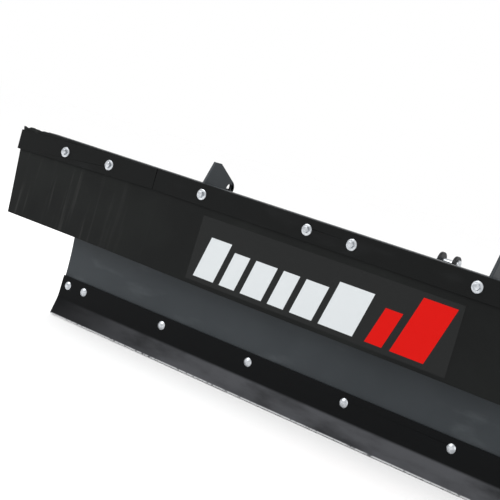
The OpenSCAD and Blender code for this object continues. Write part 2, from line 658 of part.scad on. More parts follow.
module king_pin() color(zinc) place() translate([0, king_y, 0]) {
    translate([0, 0, plate_bottom_z - 22]) cylinder(r = king_r, h = plate_top_z + plate_t - plate_bottom_z + 23);
    translate([0, 0, plate_top_z + plate_t]) cylinder(r = 2 * king_r - 3, h = 15, $fn = 6);
}
module king_nut() color(zinc) place() translate([0, king_y, plate_bottom_z - 15]) difference() {
    cylinder(r = 2 * king_r - 3, h = 15, $fn = 6);
    translate([0, 0, -1]) cylinder(r = king_r, h = 17);
}
module lock_guide() color(black_steel) place() translate([0, lock_y, plate_top_z + plate_t]) difference() {
    cylinder(r = guide_r, h = guide_h);
    translate([0, 0, -1]) cylinder(r = lock_hole_r, h = guide_h + 2);
}
// Angle lock pin, held up clear of the sector plate
module lock_pin() color(zinc) place() {
    translate([0, lock_y, lock_tip_z]) cylinder(r = lock_r, h = handle_z - lock_tip_z + handle_r + 2);
    translate([0, lock_y, 0]) rod_x([0, handle_z], handle_r, -45, 45);
}

moldboard();
top_rail();
rib_inner_left();
rib_inner_right();
rib_outer_left();
rib_outer_right();
rib_end_left();
rib_end_right();
spring_fin_left();
spring_fin_right();
crossbar();
hinge_ears_left();
hinge_ears_right();
wear_edge();
edge_bolts();
edge_nuts();
deflector();
strip_middle();
strip_left();
strip_right();
clamp_bolts();
clamp_nuts();
shoe_bracket_left();
shoe_bracket_right();
shoe_bolts();
shoe_nuts();
skid_shoe_left();
skid_shoe_right();
swivel_beam();
beam_cap_left();
beam_cap_right();
sector_plate();
king_hub();
hinge_boss_left();
hinge_boss_right();
hinge_pins();
hinge_nuts();
stop_bumpers();
spring_anchor_left();
spring_anchor_right();
spring_left();
spring_right();
spring_hook_left();
spring_hook_right();
plate_top();
plate_bottom();
side_rail_left();
side_rail_right();
cross_tube_mast();
cross_tube_rear();
clevis_left();
clevis_right();
mast_left();
mast_right();
lift_pin();
king_pin();
king_nut();
lock_guide();
lock_pin();
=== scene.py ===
"""Looks of a straight ATV snow plow: rolled blade, rubber deflector, trip springs, swivel and push frame.

Shapes are worked out in millimetres in the blade's own frame: X along the blade from its middle, Y
rearwards from
the wear edge's lower tip, Z up from the ground. row() turns them into the row frame's metres.
"""

import json
import math

import bmesh
import bpy
import numpy as np
from mathutils import Matrix, Vector

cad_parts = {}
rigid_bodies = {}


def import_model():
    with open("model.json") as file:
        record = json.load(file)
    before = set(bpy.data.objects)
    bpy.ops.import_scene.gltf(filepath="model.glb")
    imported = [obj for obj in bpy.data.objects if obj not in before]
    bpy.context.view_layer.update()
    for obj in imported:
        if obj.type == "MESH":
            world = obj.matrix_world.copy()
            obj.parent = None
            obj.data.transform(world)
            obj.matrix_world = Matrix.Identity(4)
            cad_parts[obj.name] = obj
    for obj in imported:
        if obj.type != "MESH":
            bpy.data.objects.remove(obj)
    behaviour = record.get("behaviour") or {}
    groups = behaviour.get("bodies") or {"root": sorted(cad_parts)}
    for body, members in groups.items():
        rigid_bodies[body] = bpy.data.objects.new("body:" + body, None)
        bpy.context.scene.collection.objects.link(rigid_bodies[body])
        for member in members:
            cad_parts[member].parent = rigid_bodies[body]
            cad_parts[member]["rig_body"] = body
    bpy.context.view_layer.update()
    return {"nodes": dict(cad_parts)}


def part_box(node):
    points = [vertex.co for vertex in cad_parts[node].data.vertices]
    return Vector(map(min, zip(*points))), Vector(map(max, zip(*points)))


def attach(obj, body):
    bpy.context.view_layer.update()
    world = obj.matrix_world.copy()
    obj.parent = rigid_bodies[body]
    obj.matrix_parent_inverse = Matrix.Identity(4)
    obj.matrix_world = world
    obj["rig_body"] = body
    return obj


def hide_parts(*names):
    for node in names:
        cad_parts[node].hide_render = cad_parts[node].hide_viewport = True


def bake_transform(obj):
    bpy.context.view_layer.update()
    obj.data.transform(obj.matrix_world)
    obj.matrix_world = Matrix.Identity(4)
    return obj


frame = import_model()
BLADE_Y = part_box("wear_edge")[0].y
SIDES = {"left": -1.0, "right": 1.0}


def row(points):
    """Blade millimetres as the row frame's metres: a thousandth of each, moved along Y to the wear
    edge's tip."""
    return np.asarray(points, float) / 1000 + np.array((0, BLADE_Y, 0))


def span(node):
    """Lowest and highest corner of a CAD node, in blade millimetres."""
    return [(np.array(corner) - np.array((0, BLADE_Y, 0))) * 1000 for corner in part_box(node)]


def middle(node):
    """Middle of a CAD node's box, in blade millimetres."""
    return sum(span(node)) / 2


# ---------------------------------------------------------------- sizes that pieces share, in millimetres

MOLD_LOW, MOLD_HIGH = span("moldboard")
EDGE_HIGH = span("wear_edge")[1]
SHEET = 3.0
ROLL_Z = EDGE_HIGH[2]
ROLL_R, LEAN = 700.0, math.radians(8.75)
BEND_R = 60.0
FLANGE_Z = 400.0
MOLD_Y = EDGE_HIGH[1]
LIP_Y = MOLD_LOW[1]
LIP_BACK = LIP_Y + SHEET
LEAN_Z = ROLL_Z + ROLL_R * math.sin(LEAN)
LEAN_Y = MOLD_Y - ROLL_R * (1 - math.cos(LEAN))
BEND_Z = FLANGE_Z - BEND_R * math.sin(LEAN)
BEND_Y = LEAN_Y - (BEND_Z - LEAN_Z) * math.tan(LEAN)
RIB_PLACES = ("inner", "outer", "end")
RIBS = [middle(f"rib_{place}_{side}")[0] for place in RIB_PLACES for side in SIDES]
FINS = {side: middle(f"spring_fin_{side}")[0] for side in SIDES}
BAR_LOW, BAR_HIGH = span("crossbar")
BEAM_LOW, BEAM_HIGH = span("swivel_beam")
STRIP_FRONT = span("strip_middle")[0][1]
STRIP_Z = middle("strip_middle")[2]
TILT = math.radians(1.5)
SEAM_X = 525.0
CLAMP_SPOTS = [(s * x, STRIP_Z) for s in (-1, 1) for x in (61, 373)] + [
    (s * (SEAM_X + d * math.cos(TILT)), STRIP_Z - d * math.sin(TILT)) for s in (-1, 1) for d in (156, 313)]
EDGE_BOLTS = [s * x for s in (-1, 1) for x in (136, 408, 680, 737.4)]
EDGE_BOLT_Z = 84.0


def mold_heading(z):
    """Lean of the sheet at height z: nought, then growing as the roll's sine, then steady, then back to
    nought."""
    steady = math.sin(LEAN)
    sine = np.select([z <= ROLL_Z, z <= LEAN_Z, z <= BEND_Z, z <= FLANGE_Z],
                     [0 * z, (z - ROLL_Z) / ROLL_R, 0 * z + steady, steady - (z - BEND_Z) / BEND_R], 0)
    return np.arcsin(sine)


def mold_front(z):
    """Y of the sheet's front at height z: an upright, an arc, a leaning straight, a back bend and the
    lip's flange."""
    h = mold_heading(z)
    rolled = MOLD_Y - ROLL_R * (1 - np.cos(h))
    straight = LEAN_Y - (z - LEAN_Z) * math.tan(LEAN)
    bent = BEND_Y - BEND_R * (np.cos(h) - math.cos(LEAN))
    return np.select([z <= ROLL_Z, z <= LEAN_Z, z <= BEND_Z, z <= FLANGE_Z],
                     [0 * z + MOLD_Y, rolled, straight, bent], LIP_Y)


def mold_back(z):
    """Points (y, z) on the sheet's back: the front moved one sheet thickness along the sheet's own
    normal."""
    h = mold_heading(z)
    return mold_front(z) + SHEET * np.cos(h), z + SHEET * np.sin(h)


# ---------------------------------------------------------------- shapes: each returns points and faces


def grid(points, wrap_rows=False, wrap_columns=False):
    """Faces of a grid of points, rows by columns: each face takes a point, its neighbours and the one
    across."""
    rows, columns = points.shape[:2]
    index = np.arange(rows * columns).reshape(rows, columns)
    if wrap_rows:
        index = np.vstack((index, index[:1]))
    if wrap_columns:
        index = np.hstack((index, index[:, :1]))
    faces = np.stack((index[:-1, :-1], index[:-1, 1:], index[1:, 1:], index[1:, :-1]), axis=-1)
    return points.reshape(-1, 3), faces.reshape(-1, 4)


def across(axis):
    """Two unit directions square to an axis and to each other."""
    axis = np.asarray(axis, float) / np.linalg.norm(axis)
    first = np.cross(axis, (1.0, 0, 0) if abs(axis[0]) < 0.9 else (0, 1.0, 0))
    first /= np.linalg.norm(first)
    return axis, first, np.cross(axis, first)


def turned(profile, centre, axis, sides=40):
    """A lathe shape: each (radius, height) of the profile carried round the axis, closed where the
    radius is nought."""
    axis, first, second = across(axis)
    radius, height = np.array(profile, float).T
    angle = np.arange(sides) * 2 * math.pi / sides
    ring = np.cos(angle)[:, None] * first + np.sin(angle)[:, None] * second
    points = radius[:, None, None] * ring[None] + height[:, None, None] * axis + np.asarray(centre, float)
    return grid(points, wrap_columns=True)


def hexagon(corner, height, centre, axis, chamfered=(False, True)):
    """A hexagon nut or head: at each height the radius is the smaller of the hexagon's and a 30 degree
    cone's."""
    axis, first, second = across(axis)
    flat = corner * math.cos(math.pi / 6)
    angle = np.arange(48) * math.pi / 24
    hexed = flat / np.cos((angle + math.pi / 6) % (math.pi / 3) - math.pi / 6)
    cut = (corner - flat) * math.tan(math.pi / 6) * 1.25
    ease = np.linspace(0, 1, 5)
    low = cut * ease if chamfered[0] else np.zeros(1)
    high = height - cut * ease[::-1] if chamfered[1] else np.full(1, height)
    levels = np.concatenate((low, high))
    near = np.where(np.arange(len(levels)) < len(low), levels, height - levels)
    trims = np.where(np.arange(len(levels)) < len(low), chamfered[0], chamfered[1])
    cone = np.where(trims, flat * 0.97 + near / math.tan(math.pi / 6), 2 * corner)
    radius = np.minimum(hexed[None], cone[:, None])
    radius = np.vstack((0 * hexed, radius, 0 * hexed))
    levels = np.concatenate((levels[:1], levels, levels[-1:]))
    ring = np.cos(angle)[:, None] * first + np.sin(angle)[:, None] * second
    points = radius[:, :, None] * ring[None] + levels[:, None, None] * axis + np.asarray(centre, float)
    return grid(points, wrap_columns=True)


def threads(radius, length, centre, axis, pitch=1.6):
    """A threaded end: the radius falls and rises by a third of the pitch along each pitch, with a
    bevelled tip."""
    height = np.arange(0, length - pitch, pitch / 2)
    zigzag = radius - pitch / 3 * (np.arange(len(height)) % 2)
    tip = [(radius, length - pitch), (radius - pitch / 2, length), (0, length)]
    profile = [(0, 0), *zip(zigzag, height), *tip]
    return turned(profile, centre, axis, 24)


def wire(path, radius, reference, sides=8):
    """A round wire: a circle of the given radius carried along the path, square to it, and closed at
    both ends."""
    path, reference = np.asarray(path, float), np.broadcast_to(np.asarray(reference, float), np.shape(path))
    radius = np.broadcast_to(np.asarray(radius, float), len(path))
    along = np.gradient(path, axis=0)
    along /= np.linalg.norm(along, axis=1)[:, None]
    side = np.cross(along, reference)
    side /= np.linalg.norm(side, axis=1)[:, None]
    up = np.cross(side, along)
    angle = np.arange(sides) * 2 * math.pi / sides
    ring = np.cos(angle)[None, :, None] * side[:, None] + np.sin(angle)[None, :, None] * up[:, None]
    points = path[:, None] + radius[:, None, None] * ring
    ends = np.repeat(path[[0, -1]][:, None], sides, axis=1)
    return grid(np.concatenate((ends[:1], points, ends[1:])), wrap_columns=True)


def bead(start, end, size=3.0, pitch=5.0):
    """A weld bead: a round along a straight, swelling once each pitch where the puddle froze, and
    tapered at its ends."""
    start, end = np.asarray(start, float), np.asarray(end, float)
    length = np.linalg.norm(end - start)
    along = np.linspace(0, 1, max(6, int(length / pitch * 4)))
    swell = size * (0.88 + 0.12 * np.abs(np.sin(math.pi * along * length / pitch)))
    taper = np.sqrt(np.clip(np.minimum(along, 1 - along) * length / size, 0.02, 1))
    return wire(start + along[:, None] * (end - start), swell * taper, across(end - start)[1])


def ring_bead(centre, axis, radius, size=2.6, pitch=5.0):
    """A weld bead round a tube: the same swelling round carried along a circle, its end lapping its
    start."""
    axis, first, second = across(axis)
    angle = np.linspace(0, 2 * math.pi * 1.02, max(40, int(radius * 2 * math.pi / pitch * 4)))
    circle = np.cos(angle)[:, None] * first + np.sin(angle)[:, None] * second
    path = np.asarray(centre, float) + radius * circle
    return wire(path, size * (0.88 + 0.12 * np.abs(np.sin(angle * radius / pitch * math.pi))), axis)


def square_tube(start, end, up, size, wall, corner=4.0, stops=(None, None)):
    """A hollow section: a rounded rectangle outside, a smaller one inside, carried from start to end.

    size is its width across and its height along up. A stop is a Y at which that end is cut square to
    Y."""
    start, end = np.asarray(start, float), np.asarray(end, float)
    along = (end - start) / np.linalg.norm(end - start)
    side = np.cross(along, up)
    side /= np.linalg.norm(side)
    up = np.cross(side, along)
    turn = np.linspace(0, math.pi / 2, 5)[None] + np.arange(4)[:, None] * math.pi / 2
    quarter = np.sign(np.stack((np.cos(turn.mean(1)), np.sin(turn.mean(1))), axis=-1))[:, None]

    def ring(inset):
        half = np.array(size) / 2 - inset
        r = max(corner - inset, 0.6)
        flat = quarter * (half - r) + r * np.stack((np.cos(turn), np.sin(turn)), axis=-1)
        return flat.reshape(-1, 2)

    def placed(flat, at, stop):
        points = at + flat[:, :1] * side + flat[:, 1:] * up
        if stop is not None:
            points = points + ((stop - points[:, 1]) / along[1])[:, None] * along
        return points

    outer, inner = ring(0), ring(wall)
    rings = [placed(outer, start, stops[0]), placed(outer, end, stops[1]), placed(inner, end, stops[1]),
             placed(inner, start, stops[0])]
    return grid(np.array(rings), wrap_rows=True, wrap_columns=True)


def shell(front, back):
    """A closed sheet: a front grid and a back grid of the same shape, joined round their rim."""
    rows, columns = front.shape[:2]
    faces = grid(front)[1]
    count = rows * columns
    index = np.arange(count).reshape(rows, columns)
    rim = np.concatenate((index[0, :-1], index[:-1, -1], index[-1, :0:-1], index[:0:-1, 0]))
    after = np.roll(rim, -1)
    walls = np.stack((rim, after, after + count, rim + count), axis=-1)
    points = np.concatenate((front.reshape(-1, 3), back.reshape(-1, 3)))
    return points, np.concatenate((faces, faces[:, ::-1] + count, walls))


# ---------------------------------------------------------------- meshes and pieces


def settle(mesh, degrees):
    """Merges doubles, turns faces outwards and shades smooth except along edges sharper than the
    angle."""
    bm = bmesh.new()
    bm.from_mesh(mesh)
    bmesh.ops.remove_doubles(bm, verts=bm.verts, dist=2e-6)
    bmesh.ops.dissolve_degenerate(bm, edges=bm.edges, dist=1e-7)
    bmesh.ops.recalc_face_normals(bm, faces=bm.faces)
    bm.to_mesh(mesh)
    bm.free()
    mesh.shade_smooth()
    mesh.set_sharp_from_angle(angle=math.radians(degrees))


def placed_on(piece, finish, body, nodes):
    """Gives a piece its finish, rides it on its body, and lets it stand for its CAD nodes."""
    piece.data.materials.clear()
    piece.data.materials.append(finish)
    if isinstance(body, str):
        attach(piece, body)
    if nodes:
        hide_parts(*nodes)
    return piece


def ease(piece, width, segments=2, degrees=30):
    """Rounds a piece's sharp edges by a width in millimetres."""
    modifier = piece.modifiers.new("eased_edges", "BEVEL")
    modifier.width = width / 1000
    modifier.segments = segments
    modifier.limit_method = "ANGLE"
    modifier.angle_limit = math.radians(degrees)
    modifier.use_clamp_overlap = False
    modifier.harden_normals = True


def make(name, parts, finish, body, nodes=(), eased=0.0, sharp=35):
    """One piece from several shapes in blade millimetres."""
    mesh = bpy.data.meshes.new(name)
    points, faces, count = [], [], 0
    for some_points, some_faces in parts:
        points.append(row(some_points))
        faces.append(some_faces + count)
        count += len(some_points)
    mesh.from_pydata(np.concatenate(points), [], np.concatenate(faces).tolist())
    settle(mesh, sharp)
    piece = bpy.data.objects.new(name, mesh)
    bpy.context.scene.collection.objects.link(piece)
    if eased:
        ease(piece, eased)
    return placed_on(piece, finish, body, nodes)


def eased_copy(name, nodes, finish, width=0.8, segments=2):
    """A piece that stands for CAD nodes on one body, the same plates with their flat faces joined up
    and edges eased."""
    bm = bmesh.new()
    for node in nodes:
        bm.from_mesh(frame["nodes"][node].data)
    bmesh.ops.remove_doubles(bm, verts=bm.verts, dist=2e-6)
    bmesh.ops.dissolve_limit(bm, angle_limit=math.radians(0.4), verts=bm.verts, edges=bm.edges)
    bmesh.ops.recalc_face_normals(bm, faces=bm.faces)
    mesh = bpy.data.meshes.new(name)
    bm.to_mesh(mesh)
    bm.free()
    mesh.shade_smooth()
    mesh.set_sharp_from_angle(angle=math.radians(30))
    piece = bpy.data.objects.new(name, mesh)
    bpy.context.scene.collection.objects.link(piece)
    ease(piece, width, segments)
    return placed_on(piece, finish, frame["nodes"][nodes[0]]["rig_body"], nodes)


# ---------------------------------------------------------------- finishes


def linear(colour):
    """An sRGB hex colour as linear RGBA: c / 12.92 when dark, and ((c + 0.055) / 1.055) ** 2.4
    otherwise."""
    channels = [int(colour[i:i + 2], 16) / 255 for i in (1, 3, 5)]
    return (*[c / 12.92 if c <= 0.04045 else ((c + 0.055) / 1.055) ** 2.4 for c in channels], 1.0)


def add(tree, kind, values=(), **settings):
    """Adds one shader node: its own settings, then each input's number, colour or the output that feeds
    it."""
    node = tree.nodes.new("ShaderNode" + kind)
    for key, value in settings.items():
        setattr(node, key, value)
    for socket, value in dict(values).items():
        if isinstance(value, bpy.types.NodeSocket):
            tree.links.new(value, node.inputs[socket])
        else:
            node.inputs[socket].default_value = value
    return node


def finish(name, sockets, layers=(), spread=0.06, grain=3.0, depth=0.05, stretch=(1, 1, 1)):
    """A material: a ground colour, patchy layers over it, a roughness that wanders by spread, and a
    fine grain.

    A layer is laid where noise of its size in millimetres lies above its low, fully above its high,
    times its share.
    Each of its fades is an axis and the two metres along it where the layer is none and whole. A bare
    layer is metal.
    The grain's lumps are grain millimetres across, drawn out along an axis by a stretch below one, and
    depth high."""
    material = bpy.data.materials.new(name)
    material.use_nodes = True
    tree = material.node_tree
    shader = tree.nodes["Principled BSDF"]
    for socket, value in sockets.items():
        shader.inputs[socket].default_value = value
    where = add(tree, "TexCoord").outputs["Object"]
    apart = add(tree, "SeparateXYZ", {0: where})
    colour, roughness = sockets["Base Color"], sockets["Roughness"]
    for layer in layers:
        moved = add(tree, "Mapping", {"Vector": where, "Scale": layer.get("stretch", (1, 1, 1))})
        patches = add(tree, "TexNoise", {"Vector": moved.outputs[0], "Scale": 1000 / layer["size"],
                                         "Detail": 5.0})
        share = add(tree, "MapRange", {"Value": patches.outputs["Fac"], "From Min": layer["low"],
                                       "From Max": layer["high"], "To Max": layer["share"]},
                    interpolation_type="SMOOTHSTEP").outputs["Result"]
        for axis, none, whole in layer.get("fades", ()):
            faded = add(tree, "MapRange", {"Value": apart.outputs[axis], "From Min": none,
                                           "From Max": whole}, interpolation_type="SMOOTHSTEP")
            share = add(tree, "Math", {0: share, 1: faded.outputs["Result"]},
                        operation="MULTIPLY").outputs[0]
        colour = add(tree, "Mix", {0: share, 6: colour, 7: linear(layer["colour"])},
                     data_type="RGBA").outputs[2]
        tree.links.new(colour, shader.inputs["Base Color"])
        if layer.get("bare"):
            tree.links.new(share, shader.inputs["Metallic"])
    dull = add(tree, "TexNoise", {"Vector": where, "Scale": 1000 / DULL_SIZE, "Detail": 4.0})
    rough = add(tree, "MapRange", {"Value": dull.outputs["Fac"], "From Min": 0.3, "From Max": 0.7,
                                   "To Min": roughness - spread, "To Max": roughness + spread})
    tree.links.new(rough.outputs["Result"], shader.inputs["Roughness"])
    drawn = add(tree, "Mapping", {"Vector": where, "Scale": stretch})
    lumps = add(tree, "TexNoise", {"Vector": drawn.outputs[0], "Scale": 1000 / grain, "Detail": 2.0})
    bump = add(tree, "Bump", {"Height": lumps.outputs["Fac"], "Distance": depth / 1000, "Strength": 1.0})
    tree.links.new(bump.outputs[0], shader.inputs["Normal"])
    return material


def coat(colour, roughness, specular, ior=1.5):
    """Socket values of a paint, plastic or rubber."""
    return {"Base Color": linear(colour), "Roughness": roughness, "IOR": ior, "Specular IOR Level": specular}


# Patches of duller and shinier surface are about a hand across.
DULL_SIZE = 80.0
# Polyester powder coat: even, with a faint orange peel, and dust and rub marks that dull it in places.
# The real peel is about 1 mm across, and it is drawn at 3 mm so that it shows.
SLATE = finish("slate_powder_coat", coat("#34383b", 0.42, 0.12), [
    {"size": 260, "low": 0.35, "high": 0.68, "share": 1.0, "colour": "#2e3235"},
    {"size": 42, "low": 0.56, "high": 0.80, "share": 0.45, "colour": "#4b4f52", "stretch": (0.35, 1, 1)}])
BLACK = finish("satin_black_powder_coat", coat("#17181a", 0.40, 0.20), [
    {"size": 260, "low": 0.35, "high": 0.68, "share": 1.0, "colour": "#121314"},
    {"size": 42, "low": 0.56, "high": 0.80, "share": 0.45, "colour": "#262729", "stretch": (0.35, 1, 1)}])
STRIP = finish("satin_black_strip_coat", coat("#101111", 0.44, 0.07), [
    {"size": 42, "low": 0.56, "high": 0.80, "share": 0.35, "colour": "#1f2021", "stretch": (0.3, 1, 1)}])
# Black paint on a formed wear edge, ground to bright steel at its tip. Its lower band carries a painted
# sheen: a lighter grey, none at the left end and growing towards the right, stands for a lamp's reflection
# there.
EDGE = finish("worn_wear_edge_paint_with_painted_sheen", {**coat("#0c0d0e", 0.34, 0.05), "Metallic": 0.0}, [
    # Painted reflection: lighter grey over the lower band below 50 mm, fading in from the left end towards
    # the right.
    {"size": 60, "low": 0.20, "high": 0.60, "share": 1.0, "colour": "#46474a", "stretch": (0.3, 1, 1),
     "fades": [("Z", 0.050, 0.043), ("X", -0.85, -0.25)]},
    {"size": 9, "low": 0.30, "high": 0.50, "share": 1.0, "colour": "#c4c5c6",
     "fades": [("Z", 0.0060, 0.0024)], "bare": True}])
# Black belting rubber, calendered smooth: nearly matt, with a grey bloom and faint upright scuffs at
# its left end.
RUBBER = finish("scuffed_belting_rubber", coat("#121313", 0.56, 0.07, 1.52), [
    {"size": 210, "low": 0.35, "high": 0.75, "share": 0.8, "colour": "#191b1a"},
    {"size": 16, "low": 0.54, "high": 0.78, "share": 0.5, "colour": "#3a3a39", "stretch": (1, 1, 0.07),
     "fades": [("X", -0.35, -0.95)]}], grain=2.5, depth=0.08)
# Printed self-adhesive vinyl: an even film with a soft trace of the rubber under it.
FILM = finish("glossy_dark_film", coat("#1c1d1d", 0.26, 0.10), spread=0.04, grain=12, depth=0.05)
WHITE = finish("white_vinyl", coat("#c1c5c7", 0.34, 0.15), spread=0.04, grain=12, depth=0.05)
RED = finish("red_vinyl", coat("#bd0a04", 0.34, 0.08), spread=0.04, grain=12, depth=0.05)
# Bright zinc plate on steel: a light metal whose crystals give it a soft, slightly patchy shine.
ZINC = finish("bright_zinc_plate", {"Base Color": linear("#c9ccd0"), "Roughness": 0.30, "Metallic": 1.0}, [
    {"size": 7, "low": 0.3, "high": 0.7, "share": 1.0, "colour": "#a4a8ac"}],
    spread=0.08, grain=1.2, depth=0.02)
# Black electrocoat on spring wire: thin, slightly glossy, and rubbed greyer where the turns touch.
SPRING = finish("electrocoated_spring_wire", coat("#101112", 0.32, 0.22), [
    {"size": 14, "low": 0.5, "high": 0.72, "share": 0.7, "colour": "#2c2d2e"}], grain=1.5, depth=0.03)
# Black paint on a steel skid: scraped to bright steel under the runner, with lengthwise scratches.
SHOE = finish("worn_skid_shoe_paint", {**coat("#151617", 0.40, 0.30), "Metallic": 0.0}, [
    {"size": 7, "low": 0.35, "high": 0.6, "share": 0.9, "colour": "#8f9193", "stretch": (1, 0.12, 1),
     "fades": [("Z", 0.014, 0.006)], "bare": True}], grain=7, depth=0.08, stretch=(1, 0.12, 1))
# Moulded rubber and plastic: matt, with the fine spark-eroded grain of the mould, drawn at twice its
# size.
BUMPER = finish("moulded_black_rubber", coat("#161616", 0.62, 0.35), grain=2.2, depth=0.06)
PLASTIC = finish("moulded_black_plastic", coat("#1a1a1b", 0.50, 0.40), grain=1.6, depth=0.06)
# Matt seamless backdrop paper.
PAPER = finish("white_backdrop_paper", coat("#ffffff", 0.90, 0.20), grain=4, depth=0.01)


# ---------------------------------------------------------------- blade


def half_width(z):
    """Half the sheet's width at height z: straight to 300 mm, flared to the lip, then cut off at the
    lip's corners."""
    return np.interp(z, [MOLD_LOW[2], 300, 400, 426, MOLD_HIGH[2]], [762, 762, 950, 950, 926])


def rolled_sheet():
    """The moldboard: its profile in z carried across its width, so that x = u * half width and u goes
    from -1 to 1."""
    z = np.unique(np.concatenate((np.linspace(MOLD_LOW[2], MOLD_HIGH[2], 64), [300, 400, 426])))
    u = np.linspace(-1, 1, 61)
    x = half_width(z)[:, None] * u[None]
    back_y, back_z = mold_back(z)
    front = np.stack((x, 0 * x + mold_front(z)[:, None], 0 * x + z[:, None]), axis=-1)
    back = np.stack((x, 0 * x + back_y[:, None], 0 * x + back_z[:, None]), axis=-1)
    return shell(front, back)


make("rolled_moldboard", [rolled_sheet()], SLATE, "blade", ["moldboard"], eased=0.7)
eased_copy("lip_angle", ["top_rail"], SLATE)
for place in RIB_PLACES:
    for side in SIDES:
        eased_copy(f"{place}_rib_{side}", [f"rib_{place}_{side}"], SLATE)
for side in SIDES:
    eased_copy(f"fin_plate_{side}", [f"spring_fin_{side}"], SLATE, 1.0, 3)
    eased_copy(f"ear_plates_{side}", [f"hinge_ears_{side}"], SLATE, 1.0)
    eased_copy(f"shoe_bracket_plates_{side}", [f"shoe_bracket_{side}"], SLATE, 0.8)
TUBE_WALL = 3.0
bar_y, bar_z = middle("crossbar")[1:]
make("crossbar_tube", [square_tube((BAR_LOW[0], bar_y, bar_z), (BAR_HIGH[0], bar_y, bar_z), (0, 0, 1),
                                   (BAR_HIGH[1] - BAR_LOW[1], BAR_HIGH[2] - BAR_LOW[2]), TUBE_WALL)],
     SLATE, "blade", ["crossbar"], eased=0.4)
eased_copy("formed_wear_edge", ["wear_edge"], EDGE, 0.8, 3)


# How far a bead's middle stands off the face that it lies on, and from the middle of an 8 mm plate
PROUD = 0.8
SET_OFF = 0.6
PLATE_SIDE = 4.6


def stitches(x, z_low, z_high, length=40.0, gap=50.0):
    """Weld stitches up the sheet's back at one x, each a bead along the chord of the sheet between its
    two heights."""
    starts = np.arange(z_low, z_high - length, length + gap)
    found = []
    for z in starts:
        (y0, y1), (z0, z1) = mold_back(np.array((z, z + length)))
        found.append(bead((x, y0 + PROUD, z0), (x, y1 + PROUD, z1), 3.2))
    return found


blade_beads = []
for x in [*RIBS, *FINS.values()]:
    for s in (-1, 1):
        at = x + s * PLATE_SIDE
        blade_beads += stitches(at, 52, 380)
        blade_beads.append(bead((at, BAR_LOW[1] - SET_OFF, BAR_LOW[2] + 4),
                                (at, BAR_LOW[1] - SET_OFF, BAR_HIGH[2] - 4)))
EAR_T = 8.0
for side in SIDES:
    for corner, outward in zip(span(f"hinge_ears_{side}"), (-1, 1)):
        for x in (corner[0] + outward * SET_OFF, corner[0] - outward * (EAR_T + SET_OFF)):
            blade_beads.append(bead((x, BAR_HIGH[1] + SET_OFF, 63), (x, BAR_HIGH[1] + SET_OFF, 83)))
for side in SIDES:
    low, high = span(f"shoe_bracket_{side}")
    for x in (low[0] - SET_OFF, high[0] + SET_OFF):
        blade_beads += stitches(x, 70, 160, 36, 14)
for x in np.arange(-880, 881, 110):
    blade_beads.append(bead((x - 18, LIP_BACK + PROUD, FLANGE_Z + 1.4),
                            (x + 18, LIP_BACK + PROUD, FLANGE_Z + 1.4), 2.6))
make("blade_weld_beads", blade_beads, SLATE, "blade")


# ---------------------------------------------------------------- rubber deflector and its graphic

FLAP_LOW, FLAP_HIGH = span("deflector")
FLAP_LEAN = 28.0


def flap_front(x, z):
    """Y of the flap's front: flat where it is clamped, and below that set forward or back by slow waves
    along x.

    The waves grow with the square of the distance below the clamp."""
    hang = np.clip((396 - z) / (396 - FLAP_LOW[2]), 0, 1) ** 2
    return FLAP_LOW[1] - hang * (2.4 + 1.8 * np.sin(x / 310 + 0.8) + 0.8 * np.sin(x / 97))


def rubber_flap():
    """The deflector: rows from its lower edge, which bows a little, to its upper edge, which is rough
    at the left end.

    Each row is shortened by its share of the ends' lean, so the ends slope outwards from bottom to
    top."""
    x = np.linspace(FLAP_LOW[0], FLAP_HIGH[0], 241)
    v = np.linspace(0, 1, 25)[:, None] ** 0.9
    lower = FLAP_LOW[2] + 2.2 * (np.abs(x) / FLAP_HIGH[0]) ** 2 + 0.8 * np.sin(x / 140)
    free_end = np.clip((-x - 935) / 30, 0, 1)
    upper = FLAP_HIGH[2] - free_end * (2.2 + 2.2 * np.sin(x / 9.0) + 1.2 * np.sin(x / 4.1))
    z = lower + v * (upper - lower)
    y = flap_front(x[None], z)
    across_x = x * (1 - FLAP_LEAN * (1 - v) / FLAP_HIGH[0])
    swell = free_end * np.clip((z - 436) / 12, 0, 1) * (1.1 + 0.9 * np.sin(x / 7.0 + 1))
    front = np.stack((across_x, y - swell, z), axis=-1)
    back = np.stack((across_x, y + 6 + swell, z), axis=-1)
    return shell(front, back)


make("rubber_deflector", [rubber_flap()], RUBBER, "blade", ["deflector"], eased=1.2)


def decal(outline, lift, steps, thickness=0.25):
    """A patch that lies on the flap: its four corners (x, z) filled with a grid, each point lifted off
    the rubber."""
    corners = np.asarray(outline, float)
    u = np.linspace(0, 1, steps[0] + 1)[None, :, None]
    v = np.linspace(0, 1, steps[1] + 1)[:, None, None]
    flat = (1 - v) * ((1 - u) * corners[0] + u * corners[1]) + v * ((1 - u) * corners[3] + u * corners[2])
    y = flap_front(flat[..., 0], flat[..., 1]) - lift
    outside = np.stack((flat[..., 0], y - thickness, flat[..., 1]), axis=-1)
    inside = np.stack((flat[..., 0], y + 0.1, flat[..., 1]), axis=-1)
    return shell(outside, inside)


def slanted(x, width, low, high, lean=0.22):
    """A bar leaning to the right, given by its lower left corner's x, its width and its two heights."""
    shift = lean * (high - low)
    return [(x, low), (x + width, low), (x + width + shift, high), (x + shift, high)]


